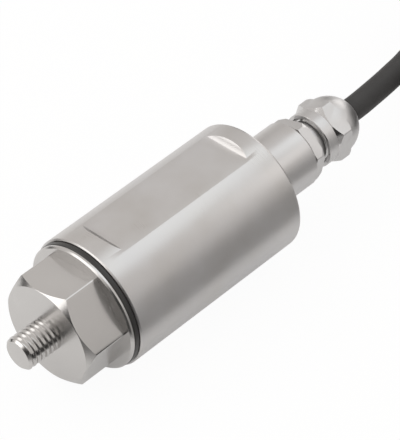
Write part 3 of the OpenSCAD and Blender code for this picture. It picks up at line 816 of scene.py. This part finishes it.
# %% Turned steel
RINGS_PER_MM = 9
RING_SHARE = 0.3
RING_DEPTH_MM = 0.002
RING_STRENGTH = 0.25
CLOUDS_PER_M = 90
BEVEL_LEAN = -0.3


def brighten_bevels(tree, dull, bevel_rough):
    """Lowers the roughness where a face leans towards the stud."""
    parts = add_node(tree, "ShaderNodeSeparateXYZ")
    tree.links.new(add_node(tree, "ShaderNodeTexCoord").outputs["Normal"], parts.inputs["Vector"])
    leans = math_node(tree, "LESS_THAN", parts.outputs["X"], BEVEL_LEAN)
    drop = math_node(tree, "MULTIPLY", leans, math_node(tree, "SUBTRACT", dull, bevel_rough))
    return math_node(tree, "SUBTRACT", dull, drop)


def turned_steel(name, light, dark, smooth, rough, bevel_rough=None):
    """Satin stainless steel with fine tool rings round the X axis."""
    finish, tree, shader = new_finish(name, light, metallic=1.0)
    place = object_place(tree)
    parts = add_node(tree, "ShaderNodeSeparateXYZ")
    tree.links.new(place, parts.inputs["Vector"])
    squares = [math_node(tree, "MULTIPLY", parts.outputs[a], parts.outputs[a]) for a in ("Y", "Z")]
    from_axis = math_node(tree, "SQRT", math_node(tree, "ADD", *squares))
    along = math_node(tree, "ADD", parts.outputs["X"], from_axis)
    rings = noise(tree, along, RINGS_PER_MM / MM, 3, "1D")
    clouds = noise(tree, place, CLOUDS_PER_M, 3)
    grain = math_node(tree, "ADD", math_node(tree, "MULTIPLY", rings, RING_SHARE),
                      math_node(tree, "MULTIPLY", clouds, 1 - RING_SHARE))
    dull = to_range(tree, grain, smooth, rough)
    if bevel_rough is not None:
        dull = brighten_bevels(tree, dull, bevel_rough)
    tree.links.new(dull, shader.inputs["Roughness"])
    vary_colour(tree, shader, grain, dark, light)
    raise_bumps(tree, shader, rings, RING_DEPTH_MM, RING_STRENGTH)
    return finish


base_finish = turned_steel("base_steel", (0.58, 0.57, 0.56), (0.54, 0.53, 0.52), 0.2, 0.28)
housing_finish = turned_steel("housing_steel", (0.61, 0.605, 0.61), (0.535, 0.52, 0.505), 0.27, 0.4)
gland_finish = turned_steel("gland_steel", (0.62, 0.614, 0.612), (0.58, 0.574, 0.572), 0.35, 0.43, 0.14)
wear(base, base_finish)
wear(body, housing_finish)
wear(gland, gland_finish)
wear(nut, gland_finish)
print("steel finishes:", [finish.name for finish in (base_finish, housing_finish, gland_finish)])

# %% [markdown]
# Rubber and cable jacket are dark. The ring is smooth enough to catch a soft shine, and fine grain breaks up
# the shine of the jacket, which is duller.

# %% Rubber and cable jacket
SKIN_CLOUDS_PER_M = 150
SKIN_STRENGTH = 0.5


def dull_skin(name, colour, second, grains_per_mm, depth_mm, smooth, rough, specular=0.4):
    """A moulded surface with fine grain."""
    finish, tree, shader = new_finish(name, colour, specular=specular)
    place = object_place(tree)
    grain = noise(tree, place, grains_per_mm / MM, 3)
    clouds = noise(tree, place, SKIN_CLOUDS_PER_M, 2)
    vary_colour(tree, shader, clouds, colour, second)
    tree.links.new(to_range(tree, grain, smooth, rough), shader.inputs["Roughness"])
    raise_bumps(tree, shader, grain, depth_mm, SKIN_STRENGTH)
    return finish


rubber_finish = dull_skin(
    "seal_rubber", (0.016, 0.0155, 0.015), (0.022, 0.021, 0.02), 5, 0.01, 0.3, 0.42, specular=0.55)
jacket_finish = dull_skin("cable_jacket", (0.034, 0.033, 0.033), (0.043, 0.042, 0.042), 4, 0.03, 0.5, 0.65)
wear(seal, rubber_finish)
wear(lead, jacket_finish)
print("dark finishes:", rubber_finish.name, jacket_finish.name)

# %% [markdown]
# The pieces inside the housing and on the lead's end keep their CAD shapes. Each gets the finish of what it
# is made of: ceramic, brass, tinned steel, moulded plastic, green solder resist, and insulation in four
# colours. The straps are webbing: waves along the three axes cross as its threads.

# %% Metal and webbing
METAL_CLOUDS_PER_M = 400
METAL_GRAINS_PER_M = 6000
METAL_GRAIN_MM = 0.01
METAL_STRENGTH = 0.3
THREADS_PER_MM = 1.2
WAVE_SCALE = 1 / 3.2
WEAVE_FLOOR = 0.4
WEAVE_DEPTH_MM = 0.15


def metal_skin(name, colour, second, smooth, rough):
    """Plain worked metal with faint cloudy wear."""
    finish, tree, shader = new_finish(name, colour, metallic=1.0)
    place = object_place(tree)
    clouds = noise(tree, place, METAL_CLOUDS_PER_M, 3)
    vary_colour(tree, shader, clouds, colour, second)
    tree.links.new(to_range(tree, clouds, smooth, rough), shader.inputs["Roughness"])
    raise_bumps(tree, shader, noise(tree, place, METAL_GRAINS_PER_M, 2), METAL_GRAIN_MM, METAL_STRENGTH)
    return finish


def woven_skin(name, colour, second):
    """Webbing: crossing sets of threads as waves, dull all over."""
    finish, tree, shader = new_finish(name, colour, roughness=0.85, specular=0.25)
    place = object_place(tree)
    threads = []
    for direction in ("X", "Y", "Z"):
        wave = add_node(tree, "ShaderNodeTexWave", bands_direction=direction)
        wave.inputs["Scale"].default_value = THREADS_PER_MM / MM * WAVE_SCALE
        wave.inputs["Distortion"].default_value = 0.6
        tree.links.new(place, wave.inputs["Vector"])
        threads.append(wave.outputs["Fac"])
    crossed = math_node(tree, "ADD", *threads[:2])
    weave = math_node(tree, "MULTIPLY", crossed, math_node(tree, "ADD", threads[2], WEAVE_FLOOR))
    vary_colour(tree, shader, math_node(tree, "MULTIPLY", weave, 0.5), colour, second)
    raise_bumps(tree, shader, weave, WEAVE_DEPTH_MM, 0.6)
    return finish


webbing_finish = woven_skin("strap_fabric", (0.014, 0.014, 0.015), (0.035, 0.035, 0.036))
wear(straps, webbing_finish)
print("webbing threads per mm:", THREADS_PER_MM)

# %% [markdown]
# The rows below give each finish two near colours. A moulded one also has its grains per millimetre and their
# depth, and both kinds end with the smoothest and the roughest value.

# %% Finishes for the CAD pieces
METAL_ROWS = {
    "contact_brass": ((0.7, 0.53, 0.24), (0.77, 0.6, 0.3), 0.22, 0.34),
    "mass_metal": ((0.2, 0.2, 0.21), (0.26, 0.26, 0.27), 0.3, 0.45),
    "screw_steel": ((0.42, 0.42, 0.43), (0.5, 0.5, 0.51), 0.25, 0.4),
    "tinned_steel": ((0.66, 0.66, 0.66), (0.74, 0.74, 0.73), 0.18, 0.32),
    "capacitor_metal": ((0.57, 0.57, 0.59), (0.64, 0.64, 0.66), 0.2, 0.34),
}
MOULDED_ROWS = {
    "white_ceramic": ((0.8, 0.79, 0.75), (0.86, 0.85, 0.81), 6, 0.01, 0.45, 0.6),
    "piezo_ceramic": ((0.5, 0.38, 0.23), (0.57, 0.44, 0.28), 6, 0.015, 0.6, 0.75),
    "red_insulation": ((0.5, 0.04, 0.035), (0.58, 0.055, 0.045), 3, 0.01, 0.4, 0.52),
    "carrier_plastic": ((0.1, 0.1, 0.11), (0.13, 0.13, 0.14), 5, 0.02, 0.5, 0.65),
    "board_green": ((0.016, 0.18, 0.06), (0.025, 0.23, 0.085), 2, 0.02, 0.25, 0.4),
    "chip_black": ((0.025, 0.025, 0.026), (0.035, 0.035, 0.035), 8, 0.02, 0.5, 0.65),
    "terminal_green": ((0.04, 0.32, 0.1), (0.055, 0.38, 0.14), 4, 0.02, 0.4, 0.55),
    "sleeve_black": ((0.016, 0.016, 0.017), (0.024, 0.024, 0.025), 4, 0.02, 0.45, 0.6),
    "core_brown_skin": ((0.18, 0.07, 0.025), (0.22, 0.09, 0.035), 3, 0.01, 0.38, 0.5),
    "core_white_skin": ((0.8, 0.8, 0.78), (0.85, 0.85, 0.83), 3, 0.01, 0.38, 0.5),
    "core_blue_skin": ((0.025, 0.09, 0.45), (0.035, 0.11, 0.52), 3, 0.01, 0.38, 0.5),
    "core_black_skin": ((0.018, 0.018, 0.018), (0.026, 0.026, 0.026), 3, 0.01, 0.38, 0.5),
}

finish_of_slot = {
    "base_steel": base_finish, "housing_steel": housing_finish, "gland_steel": gland_finish,
    "seal_rubber": rubber_finish, "cable_jacket": jacket_finish, "strap_fabric": webbing_finish,
}
finish_of_slot.update((slot, metal_skin(slot, *row)) for slot, row in METAL_ROWS.items())
finish_of_slot.update((slot, dull_skin(slot, *row)) for slot, row in MOULDED_ROWS.items())
for subpart in frame["record"]["subparts"]:
    wear(frame["nodes"][subpart["node"]], finish_of_slot[subpart["material_slot"]])

# %% [markdown]
# The studio is plain: a pale floor, an even grey room, soft boxes and a few dark cards, which are painted
# reflections of shade. Steel shows what stands round it, so this is where its look is made.
# The floor is white to the camera, and a part of its real shading stays as the shadow. In reflections the
# real shading counts more, so the housing's underside mirrors the shadow that it lies in.

# %% Floor
FLOOR_R = 4.0
FLOOR_WHITE = (0.92, 0.92, 0.92)
FLOOR_GLOW = 0.95
FLOOR_MIRRORED_GLOW = 0.3


def floor_glow(tree):
    """The floor's share of white: most for the camera, less in reflections, else none."""
    path = add_node(tree, "ShaderNodeLightPath")
    mirrored = math_node(tree, "MAXIMUM", path.outputs["Is Glossy Ray"], path.outputs["Is Transmission Ray"])
    return math_node(tree, "MAXIMUM", math_node(tree, "MULTIPLY", path.outputs["Is Camera Ray"], FLOOR_GLOW),
                     math_node(tree, "MULTIPLY", mirrored, FLOOR_MIRRORED_GLOW))


floor_finish, floor_tree, floor_shader = new_finish("floor_white", FLOOR_WHITE, roughness=0.9, specular=0.1)
glow = add_node(floor_tree, "ShaderNodeEmission")
layers = add_node(floor_tree, "ShaderNodeMixShader")
floor_tree.links.new(floor_glow(floor_tree), layers.inputs["Fac"])
floor_tree.links.new(floor_shader.outputs["BSDF"], layers.inputs[1])
floor_tree.links.new(glow.outputs["Emission"], layers.inputs[2])
floor_tree.links.new(layers.outputs["Shader"], floor_tree.nodes["Material Output"].inputs["Surface"])
bpy.ops.object.select_all(action="DESELECT")
bpy.ops.mesh.primitive_circle_add(vertices=96, radius=FLOOR_R, fill_type="NGON", location=(0, 0, FLOOR_Z))
floor = bpy.context.object
floor.name = "floor"
wear(floor, floor_finish)
print("floor at mm:", round(FLOOR_Z / MM, 1))

# %% [markdown]
# The room is one even, slightly warm grey all round. It fills the steel between the boxes' reflections, and it
# lights every side a little, so no side of the sensor goes black.

# %% Room
ROOM_COLOUR = (0.79, 0.76, 0.735)
world = bpy.data.worlds.new("room")
world.use_nodes = True
bpy.context.scene.world = world
room = world.node_tree.nodes["Background"]
room.inputs["Color"].default_value = (*ROOM_COLOUR, 1)
print("room colour:", ROOM_COLOUR)

# %% [markdown]
# The boxes stand where the steel mirrors them: the key box lies along the housing as a broad bright band, the
# front box shows in the bevels of the hexagons, the top box in the rounded end of the marking flat, the eye
# box, above the camera, as the streak on the stud, the back box on the dome, and the small gland box on the
# gland's flats. A lamp's brightness is added to the room behind it, so the boxes stay gentle.

# %% Soft boxes
SENSOR_MIDDLE = Vector((40, 0, 0)) * MM
COOL_WHITE = (0.85, 0.94, 1.0)
WARM_WHITE = (1.0, 0.99, 0.98)


def soft_box(name, direction, distance, width, height, radiance, colour):
    """An area lamp in metres that looks at the sensor. Its power follows from size and radiance."""
    lamp = bpy.data.lights.new(name, "AREA")
    lamp.shape = "RECTANGLE"
    lamp.size = width
    lamp.size_y = height
    lamp.energy = radiance * math.pi * width * height
    lamp.color = colour
    box = bpy.data.objects.new(name, lamp)
    bpy.context.collection.objects.link(box)
    look = Vector(direction).normalized()
    box.location = SENSOR_MIDDLE + look * distance
    box.rotation_euler = look.to_track_quat("Z", "Y").to_euler()


soft_box("key_box", (0.51, -0.2, 0.84), 0.7, 0.5, 0.28, 0.77, COOL_WHITE)
soft_box("front_box", (-0.83, 0.34, 0.44), 0.6, 0.44, 0.24, 1.6, WARM_WHITE)
soft_box("top_box", (-0.12, 0.555, 0.82), 0.6, 0.44, 0.28, 1.2, WARM_WHITE)
soft_box("eye_box", (-0.5, 0.02, 0.865), 0.75, 0.2, 0.2, 1.4, WARM_WHITE)
soft_box("back_box", (0.93, 0.2, 0.26), 0.7, 0.4, 0.34, 1.0, WARM_WHITE)
soft_box("gland_box", (0.69, -0.53, 0.49), 0.135, 0.044, 0.044, 0.55, WARM_WHITE)

# %% [markdown]
# Photographers put dark cards round shiny metal to give it an edge. Here the cards are painted reflections:
# dark sheets that only the steel's reflections show, put where it should mirror shade. One pair stands and lies
# along the sensor's right side and paints the soft dark line on the housing; the lying one is a painted shadow
# of the sensor on the floor, seen only in reflections. Another pair in front, and a card on the left, darken
# the bevels with painted dark reflections. The small card beside the stud gives it a painted dark side, the one
# at the camera stands for the dark room behind it, and the back one paints the marking flat's front edge. Only
# reflections show the cards: the camera doesn't see them and they throw no shadow. Their edges fade out.

# %% Dark cards, painted reflections
def painted_reflection_finish(name, grey, fade):
    """A painted reflection: a grey that fades to clear over a share of a card's width and height."""
    finish, tree, shader = new_finish(name, (grey, grey, grey), roughness=0.9, specular=0.1)
    parts = add_node(tree, "ShaderNodeSeparateXYZ")
    tree.links.new(add_node(tree, "ShaderNodeTexCoord").outputs["UV"], parts.inputs["Vector"])
    nearest = 1.0
    for axis in ("X", "Y"):
        nearest = math_node(tree, "MINIMUM", nearest, parts.outputs[axis])
        nearest = math_node(tree, "MINIMUM", nearest, math_node(tree, "SUBTRACT", 1.0, parts.outputs[axis]))
    soft_edge = add_node(tree, "ShaderNodeMapRange", interpolation_type="SMOOTHSTEP")
    soft_edge.inputs["From Max"].default_value = fade
    tree.links.new(nearest, soft_edge.inputs["Value"])
    tree.links.new(soft_edge.outputs["Result"], shader.inputs["Alpha"])
    return finish


def painted_reflection_card(name, middle_mm, facing, width_mm, height_mm, finish):
    """A card that only reflections show, as a painted dark reflection."""
    bpy.ops.object.select_all(action="DESELECT")
    bpy.ops.mesh.primitive_plane_add(size=1)
    card = bpy.context.object
    card.name = card.data.name = name
    card.scale = (width_mm * MM, height_mm * MM, 1)
    card.rotation_euler = Vector(facing).to_track_quat("Z", "Y").to_euler()
    card.location = Vector(middle_mm) * MM
    card.visible_camera = card.visible_diffuse = card.visible_shadow = False
    wear(card, finish)


# Greys of the painted reflections. The lying grey is a painted shadow on the floor that only the steel mirrors.
painted_floor_shadow_grey = painted_reflection_finish("painted_floor_shadow_grey", 0.38, 0.1)
standing_grey = painted_reflection_finish("standing_grey", 0.38, 0.5)
front_grey = painted_reflection_finish("front_grey", 0.2, 0.12)
front_black = painted_reflection_finish("front_black", 0.03, 0.12)
ABOVE_FLOOR_MM = 0.1
LYING_Z = FLOOR_Z / MM + ABOVE_FLOOR_MM
painted_reflection_card("painted_floor_shadow_card", (100, -79, LYING_Z), (0, 0, 1), 240, 110, painted_floor_shadow_grey)
painted_reflection_card("side_card", (110, -115, -8), (0, 1, 0), 300, 116, standing_grey)
painted_reflection_card("front_floor_card", (-75, -88, LYING_Z), (0, 0, 1), 150, 150, front_grey)
painted_reflection_card("front_card", (-140, -97, 30), (0.82, 0.57, 0), 240, 130, front_black)
painted_reflection_card("stud_card", (2, -30, -8), (0, 1, 0), 32, 26, front_black)
painted_reflection_card("eye_card", (-296, -379, 449), (0.51, 0.555, -0.6575), 300, 220, front_black)
painted_reflection_card("left_card", (-84, 180, 0), (0.42, -0.9, 0), 150, 60, front_black)
painted_reflection_card("back_card", (240, 138, 40), (-0.8, -0.58, 0), 90, 120, front_grey)

# %% [markdown]
# Standard keeps each colour as it was written.

# %% Colour view and the end
bpy.context.scene.view_settings.view_transform = "Standard"
bpy.context.view_layer.update()
